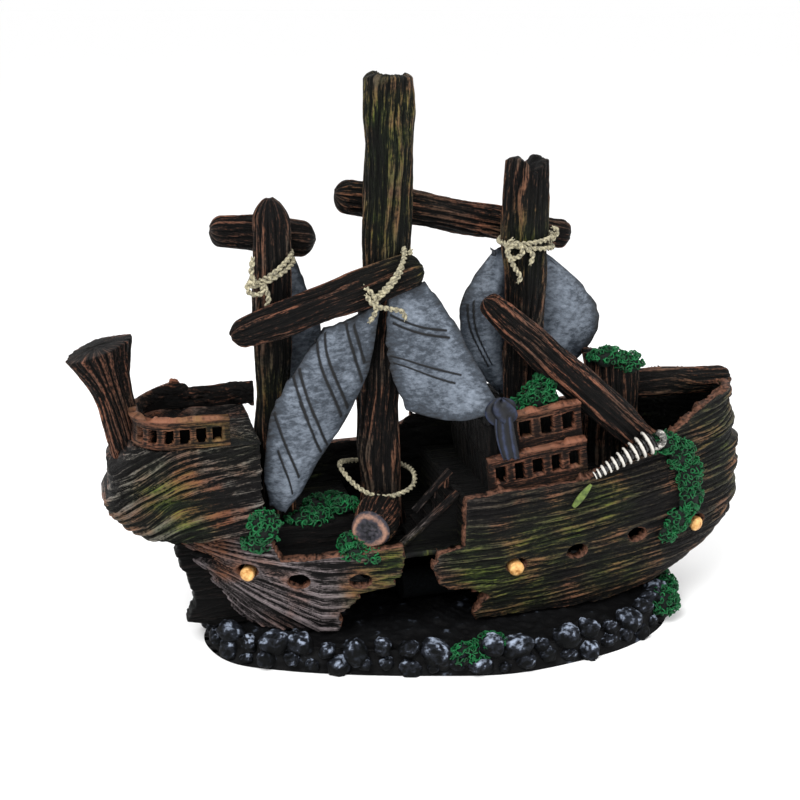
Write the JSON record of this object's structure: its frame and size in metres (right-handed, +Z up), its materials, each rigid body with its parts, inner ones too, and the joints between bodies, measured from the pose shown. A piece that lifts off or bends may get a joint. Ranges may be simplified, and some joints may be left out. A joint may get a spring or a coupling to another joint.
{
  "type": "aquarium air ornament",
  "caption": "Broken sailing ship on a bed of stones, hollow so that fish can swim in and fed with air from the back so that bubbles leave through the broken side.",
  "frame": {"origin": "under the middle of the ornament, on the flat underside of its bed", "axes": "+X towards the bow, -Y towards the broken side that faces the viewer, +Z up"},
  "size_m": [0.2646, 0.108, 0.2121],
  "materials": {
    "bed_resin": "black painted cast resin, dry brushed slate grey",
    "stone_resin": "cast resin stones, dry brushed pale slate",
    "hull_resin": "cast resin planking, black wash, copper brown dry brush and green tints",
    "joinery_resin": "cast resin joinery, copper brown dry brush",
    "timber_resin": "cast resin timber with deep grain, copper brown dry brush",
    "sail_resin": "cast resin sail cloth, blue grey wash",
    "twine": "two strand cotton twine, glued",
    "gilt_resin": "cast resin painted antique gold",
    "shell_resin": "cast resin shell, white ribs over black",
    "moss_flock": "dyed fibre moss, glued",
    "air_fitting": "moulded translucent plastic",
    "air_diffuser": "bonded mineral grit"
  },
  "bodies": {
    "root": {"air_inlet": "air_fitting", "air_stone": "air_diffuser", "air_tube": "air_fitting", "bow_hull": "hull_resin", "bowsprit": "timber_resin", "cannons": "gilt_resin", "castle_bulwark": "joinery_resin", "companion_ladder": "joinery_resin", "deck_cask": "joinery_resin", "deck_hatch": "hull_resin", "fallen_spar": "timber_resin", "fore_lashing": "twine", "fore_mast": "timber_resin", "fore_sail": "sail_resin", "forecastle_bulkhead": "hull_resin", "forecastle_cabin": "joinery_resin", "foredeck": "hull_resin", "foredeck_stump": "timber_resin", "long_yard": "timber_resin", "lower_gallery": "joinery_resin", "main_lashing": "twine", "main_mast": "timber_resin", "main_sail_aft": "sail_resin", "main_sail_fore": "sail_resin", "main_yard": "timber_resin", "mast_foot_rope": "twine", "mizzen_lashing": "twine", "mizzen_mast": "timber_resin", "mizzen_sail": "sail_resin", "mizzen_yard": "timber_resin", "moss_bed": "moss_flock", "moss_bow": "moss_flock", "moss_cabin": "moss_flock", "moss_coaming": "moss_flock", "moss_hatch": "moss_flock", "moss_stern": "moss_flock", "moss_stump": "moss_flock", "moss_waist": "moss_flock", "rim_stones": "stone_resin", "sail_knot": "sail_resin", "seabed_base": "bed_resin", "stern_castle": "hull_resin", "stern_gallery": "joinery_resin", "stern_hull": "hull_resin", "stern_post": "timber_resin", "sternpost_fin": "hull_resin", "turret_shell": "shell_resin", "upper_gallery": "joinery_resin", "waist_deck": "hull_resin", "weed_blade": "moss_flock"}
  },
  "joints": []
}
